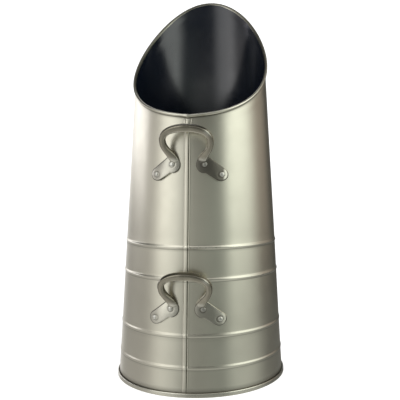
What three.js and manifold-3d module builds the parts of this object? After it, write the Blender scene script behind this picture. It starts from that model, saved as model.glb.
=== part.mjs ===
// Tall coal scuttle: a tapered sheet-metal body with rolled stiffening beads, a slanted mouth wired at
// its edge, a pan-shaped bottom hemmed round the foot, and two cast handles riveted one above the other.
// Millimetres, +Z up. The handles and the body's seam are at the front, -Y, and the lip of the mouth
// stands at the back, +Y. The pieces are modelled round the body's axis, and the group is then moved so
// that the origin is the middle of the floor that the scuttle covers, handles included.
import * as THREE from "three";
import { mergeVertices } from "three/addons/utils/BufferGeometryUtils.js";
import Module from "manifold-3d";

const wasm = await Module();
wasm.setup();

// ---- Driving dimensions -------------------------------------------------------------------------

// Body sheet. Radii are of the sheet's outside, and heights of the mouth's edge are of its wire.
const SHEET = 0.7;
const FOOT_RADIUS = 110;
const LIP_RADIUS = 79;
const LIP_HEIGHT = 509.7; // at the back
const SIDE_HEIGHT = 407.3; // halfway round
const FRONT_HEIGHT = 338.8; // over the handles

// Gap left between two pieces that touch.
const CLEARANCE = 0.3;

// Stiffening beads, swaged outwards all round.
const BEAD_HEIGHTS = [35, 73.5, 141, 179.5];
const BEAD_WIDTH = 5.4;
const BEAD_RISE = 1.4;

// Seam of the body sheet, a band raised on the outside.
const SEAM_WIDTH = 4.6;
const SEAM_RISE = 1.2;
const SEAM_SLOPE = 0.5; // width of the slope at each side of the band, and at its ends

// Wire in the rolled edge of the mouth.
const WIRE_RADIUS = 0.9;
const ROLL_SWEEP = THREE.MathUtils.degToRad(290); // how far the sheet's edge is rolled round the wire

// Bottom pan and the hem that holds the body's flange.
const FLANGE_REACH = 1.3; // how far the body's foot is turned out
const HEM_HEIGHT = 5.4;
const PAN_RECESS = 6; // how high the middle of the bottom is off the floor
const FOOT_RING_WIDTH = 7; // from the wall in to the slope, the flat ring that the scuttle stands on
const RECESS_SLOPE = 5; // width of the slope between the ring and the middle

// Rivets. Sides are measured from the seam.
const INNER_RIVET_SIDE = 19.8;
const OUTER_RIVET_SIDE = 39.4;
const RIVET_DROP = 12; // how far the outer rivets lie below the inner ones
const SHANK_RADIUS = 2;
const RIVET_HEAD_RADIUS = 3.4;
const RIVET_HEAD_HEIGHT = 1.6;
const RIVET_TAIL_RADIUS = 3.2;
const RIVET_TAIL_HEIGHT = 1.2;

// Cast handles. Each is placed by the height of its inner rivets, and heights along it are from there.
const HANDLE_HEIGHTS = { lower: 106, upper: 279.5 };
const TAB_THICKNESS = 2.5;
const TAB_END_RADIUS = 8; // round the outer rivet
const TAB_LOBE_RADIUS = 10.5; // round the inner rivet, where the bow grows out of the tab
const LEG_SIDE = 17;
const LEG_HEIGHT = 6; // the leg's foot, just over the inner rivet's head
const BOW_HALF_WIDTH = 29; // middle of the bar at the bow's widest
const SHOULDER_HEIGHT = 28.5; // where the bow is widest
const GRIP_HEIGHT = 43; // middle of the bar over the seam
const GRIP_STAND_OFF = 18.5; // middle of the bar there, out from the wall

// The handle's bar is oval. Its half widths lie in the plane of the bow, its half depths square to it.
const FOOT_HALF_WIDTH = 5.2;
const FOOT_HALF_DEPTH = 3;
const LEG_HALF_WIDTH = 3.5;
const LEG_HALF_DEPTH = 4;
const GRIP_HALF_WIDTH = 4.7;
const GRIP_HALF_DEPTH = 4.4;

// Fineness of the round faces.
const ROUND_STEPS = 60;
const RIVET_STEPS = 12;
const BOW_STEPS = 30;
const BAR_SIDES = 12;

// ---- Shape of the body --------------------------------------------------------------------------

const TAPER = (FOOT_RADIUS - LIP_RADIUS) / LIP_HEIGHT;
const WALL_LEAN = Math.atan(TAPER);
const ROLL_INNER = WIRE_RADIUS + CLEARANCE;
const ROLL_OUTER = ROLL_INNER + SHEET;

// Outside radius of the plain sheet at a height.
const wallRadius = (z) => FOOT_RADIUS - TAPER * z;

// Height of the mouth's edge at a bearing from the front: a slanted cut, dished at its sides.
const ENDS_MEAN = (LIP_HEIGHT + FRONT_HEIGHT) / 2;
const MOUTH_MEAN = (ENDS_MEAN + SIDE_HEIGHT) / 2;
const MOUTH_DISH = (ENDS_MEAN - SIDE_HEIGHT) / 2;
const MOUTH_SLANT = (LIP_HEIGHT - FRONT_HEIGHT) / 2;
const mouthHeight = (bearing) =>
  MOUTH_MEAN - MOUTH_SLANT * Math.cos(bearing) + MOUTH_DISH * Math.cos(2 * bearing);

// A point at a bearing from the front, a radius and a height.
const polar = (bearing, radius, z) =>
  new THREE.Vector3(radius * Math.sin(bearing), -radius * Math.cos(bearing), z);

// The wall's outward normal at a bearing.
const wallNormal = (bearing) => polar(bearing, Math.cos(WALL_LEAN), Math.sin(WALL_LEAN));

// The mouth's edge at a bearing, with the directions out of the wall and down into the sheet.
function mouthFrame(bearing) {
  const edge = (b) => polar(b, wallRadius(mouthHeight(b)), mouthHeight(b));
  const step = 1e-3;
  const along = edge(bearing + step).sub(edge(bearing - step)).normalize();
  const out = wallNormal(bearing);
  const down = new THREE.Vector3().crossVectors(along, out).normalize();
  return { edge: edge(bearing), out, down };
}

// The point of a mouth frame that lies so far down the sheet and so far out of it.
const offMouth = ({ edge, out, down }, below, outward) =>
  edge.clone().addScaledVector(down, below).addScaledVector(out, outward);

// Bearings of the body's columns: evenly round, with the seam's edges put in.
function bodyBearings() {
  const full = 2 * Math.PI;
  const seam = [SEAM_WIDTH / 2, SEAM_WIDTH / 2 + SEAM_SLOPE].map((side) => side / FOOT_RADIUS);
  const even = Array.from({ length: ROUND_STEPS }, (_, i) => (full * i) / ROUND_STEPS);
  const clear = even.filter((b) => b > seam[1] && b < full - seam[1]);
  return [0, ...seam, ...clear, ...seam.toReversed().map((b) => full - b)];
}

// How far the seam's band stands out of the wall at a bearing.
function seamRise(bearing) {
  const side = Math.min(bearing, 2 * Math.PI - bearing) * FOOT_RADIUS;
  const share = (SEAM_WIDTH / 2 + SEAM_SLOPE - side) / SEAM_SLOPE;
  return SEAM_RISE * THREE.MathUtils.clamp(share, 0, 1);
}

// Sections of a bead, as shares of its half width along the wall and of its rise.
const BEAD_OUTSIDE = [[-1, 0], [-0.5, 0.75], [0, 1], [0.5, 0.75], [1, 0]];
const BEAD_INSIDE = [[-1, 0], [0, 1], [1, 0]];

// Every bead's section, from the lowest up, as [height, rise] pairs.
const beadSections = (shares) =>
  BEAD_HEIGHTS.flatMap((height) =>
    shares.map(([along, rise]) => [height + (along * BEAD_WIDTH) / 2, rise * BEAD_RISE]),
  );

const FLANGE_BOTTOM = SHEET + CLEARANCE;
const FLANGE_TOP = FLANGE_BOTTOM + SHEET;
const SEAM_BOTTOM = HEM_HEIGHT + CLEARANCE; // the band begins just over the hem
const SEAM_TOP = ROLL_OUTER + CLEARANCE; // and ends just under the roll, so far below the wire
const ROLL_STEPS = 6;

// The closed section of the body sheet at one bearing.
function bodySection(bearing) {
  const rise = seamRise(bearing);
  const onWall = (z, outward) => polar(bearing, wallRadius(z) + outward, z);
  const frame = mouthFrame(bearing);
  const angles = Array.from({ length: ROLL_STEPS + 1 }, (_, i) => (ROLL_SWEEP * i) / ROLL_STEPS);
  const roll = (angle, radius) =>
    offMouth(frame, -radius * Math.sin(angle), ROLL_INNER - radius * Math.cos(angle));
  return [
    onWall(FLANGE_BOTTOM, FLANGE_REACH),
    onWall(FLANGE_TOP, FLANGE_REACH),
    onWall(FLANGE_TOP, 0),
    onWall(SEAM_BOTTOM, 0),
    onWall(SEAM_BOTTOM + SEAM_SLOPE, rise),
    ...beadSections(BEAD_OUTSIDE).map(([z, bulge]) => onWall(z, bulge + rise)),
    offMouth(frame, SEAM_TOP + SEAM_SLOPE, rise),
    offMouth(frame, SEAM_TOP, 0),
    ...angles.map((a) => roll(a, ROLL_INNER)),
    ...angles.toReversed().map((a) => roll(a, ROLL_OUTER)),
    ...beadSections(BEAD_INSIDE).toReversed().map(([z, bulge]) => onWall(z, bulge - SHEET)),
    onWall(FLANGE_BOTTOM, -SHEET),
  ];
}

// ---- Meshes and solids --------------------------------------------------------------------------

// The surface over columns of points, where each column is a loop and the last leads on to the first.
function loopSurface(columns) {
  const rows = columns[0].length;
  const index = [];
  for (let c = 0; c < columns.length; c++) {
    const next = (c + 1) % columns.length;
    for (let r = 0; r < rows; r++) {
      const up = (r + 1) % rows;
      const [a, b] = [c * rows + r, next * rows + r];
      const [d, e] = [next * rows + up, c * rows + up];
      index.push(a, b, d, a, d, e);
    }
  }
  return new THREE.BufferGeometry().setFromPoints(columns.flat()).setIndex(index);
}

// A bar through rings of points, closed by a fan over each end.
function barSurface(rings) {
  const sides = rings[0].length;
  const index = [];
  for (let k = 0; k + 1 < rings.length; k++) {
    for (let s = 0; s < sides; s++) {
      const [a, b] = [k * sides + s, k * sides + ((s + 1) % sides)];
      index.push(a, b, b + sides, a, b + sides, a + sides);
    }
  }
  const last = (rings.length - 1) * sides;
  for (let s = 1; s + 1 < sides; s++) {
    index.push(0, s + 1, s);
    index.push(last, last + s, last + s + 1);
  }
  return new THREE.BufferGeometry().setFromPoints(rings.flat()).setIndex(index);
}

// A profile of [radius, height] pairs turned round the Z axis.
function turned(profile, steps = ROUND_STEPS) {
  const points = profile.map(([radius, z]) => new THREE.Vector2(radius, z));
  return new THREE.LatheGeometry(points, steps).rotateX(Math.PI / 2);
}

function toSolid(geometry) {
  const bare = geometry.clone();
  bare.deleteAttribute("normal");
  bare.deleteAttribute("uv");
  const merged = mergeVertices(bare, 1e-3);
  const vertProperties = new Float32Array(merged.attributes.position.array);
  const triVerts = new Uint32Array(merged.index.array);
  return new wasm.Manifold(new wasm.Mesh({ numProp: 3, vertProperties, triVerts }));
}

function toGeometry(solid) {
  const mesh = solid.getMesh();
  const geometry = new THREE.BufferGeometry();
  geometry.setAttribute("position", new THREE.BufferAttribute(mesh.vertProperties, 3));
  geometry.setIndex(new THREE.BufferAttribute(mesh.triVerts, 1));
  return geometry;
}

// ---- Rivets -------------------------------------------------------------------------------------

const TAB_FACE = CLEARANCE + TAB_THICKNESS; // the tab's outer face, out from the wall

// Where a handle's rivets meet the wall's outside, and the direction out of the wall there.
function rivetSeats(height) {
  const seat = (name, side, z) => {
    const bearing = Math.asin(side / wallRadius(z));
    return { name, point: polar(bearing, wallRadius(z), z), out: wallNormal(bearing) };
  };
  return Object.entries({ left: -1, right: 1 }).flatMap(([hand, sign]) => [
    seat(`${hand}_inner`, sign * INNER_RIVET_SIDE, height),
    seat(`${hand}_outer`, sign * OUTER_RIVET_SIDE, height - RIVET_DROP),
  ]);
}

// A [radius, distance out of the wall] profile turned round a rivet's own axis.
function turnedAtSeat(profile, { point, out }) {
  const turn = new THREE.Quaternion().setFromUnitVectors(new THREE.Vector3(0, 0, 1), out);
  return turned(profile, RIVET_STEPS).applyQuaternion(turn).translate(point.x, point.y, point.z);
}

function rivetGeometry(seat) {
  const headBase = TAB_FACE + CLEARANCE;
  const tailBase = -SHEET - CLEARANCE;
  const dome = [0.25, 0.5, 0.75].map((share) => {
    const angle = (share * Math.PI) / 2;
    return [RIVET_HEAD_RADIUS * Math.cos(angle), headBase + RIVET_HEAD_HEIGHT * Math.sin(angle)];
  });
  const profile = [
    [0, tailBase - RIVET_TAIL_HEIGHT],
    [SHANK_RADIUS, tailBase - RIVET_TAIL_HEIGHT],
    [RIVET_TAIL_RADIUS, tailBase],
    [SHANK_RADIUS, tailBase],
    [SHANK_RADIUS, headBase],
    [RIVET_HEAD_RADIUS, headBase],
    ...dome,
    [0, headBase + RIVET_HEAD_HEIGHT],
  ];
  return turnedAtSeat(profile, seat);
}

// The hole that a rivet's shank passes through, in the tab and in the wall.
function rivetHole(seat) {
  const radius = SHANK_RADIUS + CLEARANCE;
  const reach = 2 * TAB_FACE;
  const profile = [[0, -reach], [radius, -reach], [radius, reach], [0, reach]];
  return toSolid(turnedAtSeat(profile, seat));
}

// ---- Handles ------------------------------------------------------------------------------------

// Outline of the right-hand tab seen from the front: a small round end and a larger lobe, with a
// straight edge over both and a step between them below.
function tabOutline() {
  const [across, drop] = [OUTER_RIVET_SIDE - INNER_RIVET_SIDE, RIVET_DROP];
  const slope = Math.atan2(-drop, across);
  const quarter = Math.PI / 2;
  const top = slope + Math.acos((TAB_LOBE_RADIUS - TAB_END_RADIUS) / Math.hypot(across, drop));
  const step = slope - Math.asin(TAB_END_RADIUS / TAB_LOBE_RADIUS);
  const outline = new THREE.Shape();
  outline.absarc(OUTER_RIVET_SIDE, -RIVET_DROP, TAB_END_RADIUS, slope - quarter, top);
  outline.absarc(INNER_RIVET_SIDE, 0, TAB_LOBE_RADIUS, top, step + 4 * quarter);
  return outline;
}

// Centre line of the bow, in a plane that leans out from the wall: up and outwards from the foot of a
// leg to the shoulder, and over in a squarish arch to the other side.
function bowLine(height) {
  const splay = 0.6; // how far a leg runs sideways at its foot for each unit that it rises
  const reach = 0.45 * (SHOULDER_HEIGHT - LEG_HEIGHT); // how far a leg's ends pull its curve straight
  const squareness = 0.62; // of the arch, where 0.55 would be an ellipse
  const arch = GRIP_HEIGHT - SHOULDER_HEIGHT;
  const place = (side, up) => {
    const share = (up - LEG_HEIGHT) / (GRIP_HEIGHT - LEG_HEIGHT);
    const out = THREE.MathUtils.lerp(CLEARANCE, GRIP_STAND_OFF, share);
    return new THREE.Vector3(side, -wallRadius(height) - out, height + up);
  };
  const leg = (sign) => [
    place(sign * LEG_SIDE, LEG_HEIGHT),
    place(sign * (LEG_SIDE + splay * reach), LEG_HEIGHT + reach),
    place(sign * BOW_HALF_WIDTH, SHOULDER_HEIGHT - reach),
    place(sign * BOW_HALF_WIDTH, SHOULDER_HEIGHT),
  ];
  const halfArch = (sign) => [
    place(sign * BOW_HALF_WIDTH, SHOULDER_HEIGHT),
    place(sign * BOW_HALF_WIDTH, SHOULDER_HEIGHT + arch * squareness),
    place(sign * BOW_HALF_WIDTH * squareness, GRIP_HEIGHT),
    place(0, GRIP_HEIGHT),
  ];
  const line = new THREE.CurvePath();
  for (const points of [leg(-1), halfArch(-1), halfArch(1).toReversed(), leg(1).toReversed()]) {
    line.add(new THREE.CubicBezierCurve3(...points));
  }
  return line;
}

// A half size of the bar at a share of its line, eased from foot to leg and from leg to grip.
function barSize(share, foot, leg, grip) {
  const fromEnd = Math.min(share, 1 - share);
  const [footEnd, gripStart, middle] = [0.15, 0.25, 0.5];
  const lower = THREE.MathUtils.smoothstep(fromEnd, 0, footEnd);
  const upper = THREE.MathUtils.smoothstep(fromEnd, gripStart, middle);
  return foot + (leg - foot) * lower + (grip - leg) * upper;
}

// The bow: an oval bar along that line, spread wide and flat at its feet and swelling to the grip.
function bowGeometry(height) {
  const line = bowLine(height);
  const lean = Math.atan2(GRIP_STAND_OFF - CLEARANCE, GRIP_HEIGHT - LEG_HEIGHT);
  const deep = new THREE.Vector3(0, -Math.cos(lean), -Math.sin(lean));
  const rings = [];
  for (let k = 0; k <= BOW_STEPS; k++) {
    const share = k / BOW_STEPS;
    const centre = line.getPoint(share);
    const across = new THREE.Vector3().crossVectors(deep, line.getTangent(share)).normalize();
    const halfWidth = barSize(share, FOOT_HALF_WIDTH, LEG_HALF_WIDTH, GRIP_HALF_WIDTH);
    const halfDepth = barSize(share, FOOT_HALF_DEPTH, LEG_HALF_DEPTH, GRIP_HALF_DEPTH);
    const ring = [];
    for (let s = 0; s < BAR_SIDES; s++) {
      const angle = (2 * Math.PI * s) / BAR_SIDES;
      const point = centre.clone().addScaledVector(across, halfWidth * Math.cos(angle));
      ring.push(point.addScaledVector(deep, halfDepth * Math.sin(angle)));
    }
    rings.push(ring);
  }
  return barSurface(rings);
}

// Everything inside the wall, or inside a surface so far out of it, with the beads or without.
function insideWall(outward, beads) {
  const rim = beads.map(([z, bulge]) => [wallRadius(z) + bulge + outward, z]);
  const corner = (z) => [wallRadius(z) + outward, z];
  const profile = [[0, 0], corner(0), ...rim, corner(LIP_HEIGHT), [0, LIP_HEIGHT]];
  return toSolid(turned(profile));
}

// One cast handle: two tabs laid on the wall and the bow between them, with holes for its rivets.
function handleGeometry(height) {
  const settings = { depth: FOOT_RADIUS + TAB_FACE, bevelEnabled: false, curveSegments: 8 };
  const prism = new THREE.ExtrudeGeometry(tabOutline(), settings).rotateX(Math.PI / 2);
  const right = toSolid(prism.translate(0, 0, height));
  const tabs = right.add(right.mirror([1, 0, 0])).intersect(insideWall(TAB_FACE, []));
  const bow = toSolid(bowGeometry(height));
  let solid = tabs.add(bow).subtract(insideWall(CLEARANCE, beadSections(BEAD_OUTSIDE)));
  for (const seat of rivetSeats(height)) solid = solid.subtract(rivetHole(seat));
  return toGeometry(solid);
}

// ---- Body, wire and pan -------------------------------------------------------------------------

function bodyGeometry() {
  let solid = toSolid(loopSurface(bodyBearings().map(bodySection)));
  const seats = Object.values(HANDLE_HEIGHTS).flatMap(rivetSeats);
  for (const seat of seats) solid = solid.subtract(rivetHole(seat));
  return toGeometry(solid);
}

// The wire that the mouth's edge is rolled round, a closed hoop.
function wireGeometry() {
  const sides = 6;
  const columns = [];
  for (let i = 0; i < ROUND_STEPS; i++) {
    const frame = mouthFrame((2 * Math.PI * i) / ROUND_STEPS);
    const column = [];
    for (let s = 0; s < sides; s++) {
      const angle = (-2 * Math.PI * s) / sides;
      const [below, outward] = [WIRE_RADIUS * Math.sin(angle), WIRE_RADIUS * Math.cos(angle)];
      column.push(offMouth(frame, below, ROLL_INNER + outward));
    }
    columns.push(column);
  }
  return loopSurface(columns);
}

// A path through corners, each inner one rounded to its own radius.
function roundedPath(corners, radii, steps) {
  const path = [corners[0]];
  radii.forEach((radius, i) => {
    const [before, corner, after] = corners.slice(i, i + 3);
    const back = before.clone().sub(corner).normalize();
    const ahead = after.clone().sub(corner).normalize();
    const halfAngle = Math.acos(back.dot(ahead)) / 2;
    const inward = back.clone().add(ahead).normalize();
    const centre = corner.clone().addScaledVector(inward, radius / Math.sin(halfAngle));
    const start = corner.clone().addScaledVector(back, radius / Math.tan(halfAngle));
    const turn = (Math.PI - 2 * halfAngle) * -Math.sign(back.cross(ahead));
    for (let s = 0; s <= steps; s++) path.push(start.clone().rotateAround(centre, (turn * s) / steps));
  });
  path.push(corners.at(-1));
  return path;
}

// The closed outline of a sheet whose middle follows a path.
function sheetOutline(path, thickness) {
  const side = (sign) =>
    path.map((point, i) => {
      const before = path[Math.max(i - 1, 0)];
      const after = path[Math.min(i + 1, path.length - 1)];
      const along = after.clone().sub(before).normalize();
      const offset = (sign * thickness) / 2;
      return [point.x - offset * along.y, point.y + offset * along.x];
    });
  return [...side(-1), ...side(1).toReversed()];
}

// The bottom: a recessed disc, the flat ring that it stands on, and a hem folded over the body's flange.
function panGeometry() {
  const half = SHEET / 2;
  const inner = FOOT_RADIUS + CLEARANCE + half;
  const outer = FOOT_RADIUS + FLANGE_REACH + CLEARANCE + half;
  const ringInside = FOOT_RADIUS - FOOT_RING_WIDTH;
  const corners = [
    [0, PAN_RECESS + half],
    [ringInside - RECESS_SLOPE, PAN_RECESS + half],
    [ringInside, half],
    [outer, half],
    [outer, HEM_HEIGHT - half],
    [inner, HEM_HEIGHT - half],
    [inner, FLANGE_TOP + CLEARANCE],
  ].map((corner) => new THREE.Vector2(...corner));
  const bend = 1.5;
  const fold = 0.49 * (outer - inner);
  const path = roundedPath(corners, [bend, bend, fold, fold, fold], 2);
  return turned(sheetOutline(path, SHEET));
}

// ---- Assembly -----------------------------------------------------------------------------------

const metal = (color, roughness) => new THREE.MeshStandardMaterial({ color, roughness, metalness: 0.9 });
const pewterSheet = metal(0xa8a591, 0.38);
const castPewter = metal(0x8d8a7b, 0.45);
const rivetPewter = metal(0xb4b2a4, 0.35);
const steelWire = metal(0x8a8a88, 0.5);

const scuttle = new THREE.Group();
function addPiece(name, geometry, material) {
  const mesh = new THREE.Mesh(geometry, material);
  mesh.name = name;
  scuttle.add(mesh);
}

addPiece("body", bodyGeometry(), pewterSheet);
addPiece("rim_wire", wireGeometry(), steelWire);
addPiece("base_pan", panGeometry(), pewterSheet);
for (const [which, height] of Object.entries(HANDLE_HEIGHTS)) {
  addPiece(`${which}_handle`, handleGeometry(height), castPewter);
  for (const seat of rivetSeats(height)) {
    addPiece(`${which}_rivet_${seat.name}`, rivetGeometry(seat), rivetPewter);
  }
}

// The handles stand out at the front, so the covered floor's middle lies in front of the body's axis.
const covered = new THREE.Box3().setFromObject(scuttle);
scuttle.position.y = -(covered.min.y + covered.max.y) / 2;

export default scuttle;
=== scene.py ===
"""The coal scuttle dressed for its picture: sheet, pan, castings, rivets and paint over the CAD frame.

Shapes are worked out in millimetres round the body's own axis, with the seam and the handles at the
front, -Y, and bearings counted from the front towards +X. They become metres in the shared frame only
when a mesh is made.
"""

import bmesh
import bpy
import numpy as np
from mathutils import Matrix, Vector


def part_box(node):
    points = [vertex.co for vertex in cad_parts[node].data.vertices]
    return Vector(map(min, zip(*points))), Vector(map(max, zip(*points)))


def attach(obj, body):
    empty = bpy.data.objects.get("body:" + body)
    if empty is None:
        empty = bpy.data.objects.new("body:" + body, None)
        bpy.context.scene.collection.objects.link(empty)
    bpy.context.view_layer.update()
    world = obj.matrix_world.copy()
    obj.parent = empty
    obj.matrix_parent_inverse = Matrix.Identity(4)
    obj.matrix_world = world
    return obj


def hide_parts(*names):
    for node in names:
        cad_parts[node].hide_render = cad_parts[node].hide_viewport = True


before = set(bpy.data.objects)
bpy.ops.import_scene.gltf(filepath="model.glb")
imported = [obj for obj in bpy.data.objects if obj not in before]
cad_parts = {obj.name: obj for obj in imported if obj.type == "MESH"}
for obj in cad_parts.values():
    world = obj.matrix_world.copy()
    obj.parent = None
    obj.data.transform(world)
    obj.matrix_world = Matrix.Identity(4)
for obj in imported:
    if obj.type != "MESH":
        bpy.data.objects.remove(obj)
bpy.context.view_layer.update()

MM = 0.001
pan_low, pan_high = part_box("base_pan")
AXIS_Y = (pan_low.y + pan_high.y) / 2 / MM  # the body's axis in the shared frame

# ---- Dimensions, as the CAD has them ----

SHEET = 0.7
FOOT_RADIUS = 110.0
LIP_RADIUS = 79.0
LIP_HEIGHT = 509.7
SIDE_HEIGHT = 407.3
FRONT_HEIGHT = 338.8
CLEARANCE = 0.3
FLANGE_WIDTH = 1.3  # how far the sheet is turned out at its foot
PAN_RECESS = 6.0
BEAD_HEIGHTS = (35.0, 73.5, 141.0, 179.5)
WIRE_RADIUS = 0.9
ROLL_INNER = WIRE_RADIUS + CLEARANCE
ROLL_OUTER = ROLL_INNER + SHEET
HANDLE_HEIGHTS = {"lower": 106.0, "upper": 279.5}
INNER_RIVET_SIDE = 19.8
OUTER_RIVET_SIDE = 39.4
RIVET_DROP = 12.0
RIVETS_APART = np.hypot(OUTER_RIVET_SIDE - INNER_RIVET_SIDE, RIVET_DROP)
TAB_THICKNESS = 2.5
TAB_FACE = CLEARANCE + TAB_THICKNESS

TAPER = (FOOT_RADIUS - LIP_RADIUS) / LIP_HEIGHT
WALL_LEAN = np.arctan(TAPER)
ENDS_MEAN = (LIP_HEIGHT + FRONT_HEIGHT) / 2
MOUTH_MEAN = (ENDS_MEAN + SIDE_HEIGHT) / 2
MOUTH_DISH = (ENDS_MEAN - SIDE_HEIGHT) / 2
MOUTH_SLANT = (LIP_HEIGHT - FRONT_HEIGHT) / 2
FULL_TURN = 2 * np.pi

# ---- Finer shapes than the CAD's ----

BEAD_RISES = (0.62, 0.66, 0.9, 0.95)
BEAD_HALF_WIDTH = 3.1
BEAD_SPAN = 3.3  # the rows of points over a bead reach a little past its foot
SLANT_START = 200.0  # rows of points are level below this height, and slant towards the mouth above it
TAB_MIDDLE = np.array([28.0, -4.6])
RIGHT_TAB_SHADE = {"upper": 0.95, "lower": 0.4}  # painted shade over each handle's right-hand tab
RIGHT_RIVET_SHADE = 0.55  # painted shade over the inner rivet on it
HEAD_RADIUS, SHANK_RADIUS, TAIL_RADIUS = 3.0, 2.0, 3.2


# ---- From arrays to meshes ----


def smoothstep(low, high, value):
    """Eases from 0 at low to 1 at high."""
    share = np.clip((value - low) / (high - low), 0, 1)
    return share * share * (3 - 2 * share)


def hump(value, centre, width):
    """A bell of height 1 over centre, which falls to about 0.37 at width to each side."""
    return np.exp(-(((value - centre) / width) ** 2))


def polar(bearing, radius, z):
    """Points at a bearing from the front, a radius and a height, broadcast together."""
    bearing, radius, z = np.broadcast_arrays(bearing, radius, z)
    return np.stack([radius * np.sin(bearing), -radius * np.cos(bearing), z], axis=-1)


def grid_faces(rows, columns, ring_rows, ring_columns):
    """Corner numbers of the quads between neighbouring rows and columns, which may close into rings."""
    row = np.arange(rows if ring_rows else rows - 1)[:, None]
    column = np.arange(columns if ring_columns else columns - 1)[None, :]
    above, beside = (row + 1) % rows, (column + 1) % columns
    corners = [(row, column), (row, beside), (above, beside), (above, column)]
    return np.stack([r * columns + c for r, c in corners], axis=-1).reshape(-1, 4)


def signed_volume(points, faces):
    """Six times the volume that the faces close in: positive where they point outwards."""
    a, b, c, d = (points[faces[:, k]] for k in range(4))
    return np.einsum("ij,ij->", a, np.cross(b, c)) + np.einsum("ij,ij->", a, np.cross(c, d))


def set_marks(mesh, marks):
    """Gives a mesh its painted shade, and its wear with painted highlights, a number for each of its
    points.
    """
    for key, value in marks.items():
        layer = mesh.attributes.new(key, "FLOAT", "POINT")
        layer.data.foreach_set("value", value.astype(np.float32))


def vectors_of(items, key):
    """A vector of each item of a mesh, such as a vertex's place, as rows of three numbers."""
    flat = np.zeros(len(items) * 3)
    items.foreach_get(key, flat)
    return flat.reshape(-1, 3)


def body_frame(places):
    """Places in the shared frame, in metres, as millimetres round the body's own axis."""
    return places / MM - [0, AXIS_Y, 0]


def make_mesh(name, grids):
    """One mesh from several grids, each a dict of points (rows, columns, 3) and how it closes.

    A grid that closes a volume is turned so that its faces point outwards. The points of a row that
    shrinks to a pole stay apart here, and tidy_mesh merges them.
    """
    points, faces, values = [], [], {}
    count = 0
    for grid in grids:
        shape = grid["points"].shape[:2]
        flat = grid["points"].reshape(-1, 3)
        quads = grid_faces(*shape, grid.get("ring_rows", False), grid.get("ring_columns", True))
        if signed_volume(flat, quads) < 0:
            quads = quads[:, ::-1]
        points.append(flat)
        faces.append(quads + count)
        count += len(flat)
        for key, value in grid.get("values", {}).items():
            values.setdefault(key, []).append(np.broadcast_to(value, shape).reshape(-1))
    points, faces = np.concatenate(points), np.concatenate(faces)
    mesh = bpy.data.meshes.new(name)
    mesh.from_pydata(((points + [0, AXIS_Y, 0]) * MM).tolist(), [], faces.tolist())
    set_marks(mesh, {key: np.concatenate(value) for key, value in values.items()})
    return mesh


def place(name, mesh, materials, replaced=()):
    """A finished piece in the scene, riding on the one body of the part."""
    piece = bpy.data.objects.new(name, mesh)
    bpy.context.scene.collection.objects.link(piece)
    for material in materials:
        mesh.materials.append(material)
    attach(piece, "root")
    if replaced:
        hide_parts(*replaced)
    return piece


def tidy_mesh(mesh, sharp_angle=50):
    """Merges the points that meet at poles, drops empty faces and loose edges, and shades smooth."""
    work = bmesh.new()
    work.from_mesh(mesh)
    bmesh.ops.remove_doubles(work, verts=work.verts, dist=1e-7)
    bmesh.ops.dissolve_degenerate(work, edges=work.edges, dist=1e-8)
    bmesh.ops.delete(work, geom=[edge for edge in work.edges if edge.is_wire], context="EDGES")
    work.to_mesh(mesh)
    work.free()
    mesh.shade_smooth()
    mesh.set_sharp_from_angle(angle=np.radians(sharp_angle))


def build(name, grids, materials, replaced=(), sharp_angle=50):
    """Makes a piece of grids, tidies it and puts it in its place."""
    mesh = make_mesh(name, grids)
    tidy_mesh(mesh, sharp_angle)
    return place(name, mesh, materials, replaced)


# ---- The body's surface ----


def wall_radius(z):
    """Radius of the plain sheet's outside: it shrinks evenly with height."""
    return FOOT_RADIUS - TAPER * z


def seam_dip(side):
    """How far the mouth's edge dips at the seam, a soft V in the side distance from it."""
    return 1.3 * np.exp(-np.sqrt(side**2 + 2.0) / 9)


def mouth_height(bearing):
    """Height of the mouth's edge: a slanted cut dished at its sides, with a dip over the seam."""
    wrapped = (bearing + np.pi) % FULL_TURN - np.pi
    cut = MOUTH_MEAN - MOUTH_SLANT * np.cos(bearing) + MOUTH_DISH * np.cos(2 * bearing)
    return cut - seam_dip(wrapped * wall_radius(FRONT_HEIGHT))


def wall_normal(bearing):
    """Out of the wall: along the radius, tipped up by the wall's lean."""
    return polar(bearing, np.cos(WALL_LEAN), np.sin(WALL_LEAN))


def off_mouth(bearing, below, outward):
    """Points so far down the sheet from the mouth's edge and so far out of it.

    The way down is square to the edge's own direction, which is taken from two points close to each
    other on it, and to the wall's normal.
    """
    step = 1e-3

    def edge(at):
        return polar(at, wall_radius(mouth_height(at)), mouth_height(at))

    along = edge(bearing + step) - edge(bearing - step)
    along /= np.linalg.norm(along, axis=-1, keepdims=True)
    out = wall_normal(bearing)
    down = np.cross(along, out)
    below, outward = np.broadcast_arrays(below, outward)
    return edge(bearing) + below[..., None] * down + outward[..., None] * out


def bead_rise(z, scale=1.0):
    """Rise of the four swaged beads at a height: raised cosines, the upper two a little bolder.

    A larger scale gives wider beads.
    """
    rise = np.zeros_like(z)
    for height, bold in zip(BEAD_HEIGHTS, BEAD_RISES):
        share = np.clip(np.abs(z - height) / (BEAD_HALF_WIDTH * scale), 0, 1)
        rise = rise + bold * np.cos(share * np.pi / 2) ** 2
    return rise


def seam_flare(below):
    """How far the seam's folds have swung apart: all the way at the mouth, and no more well below it."""
    return np.exp(-np.maximum(below - 2, 0) / 5.0)


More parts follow.
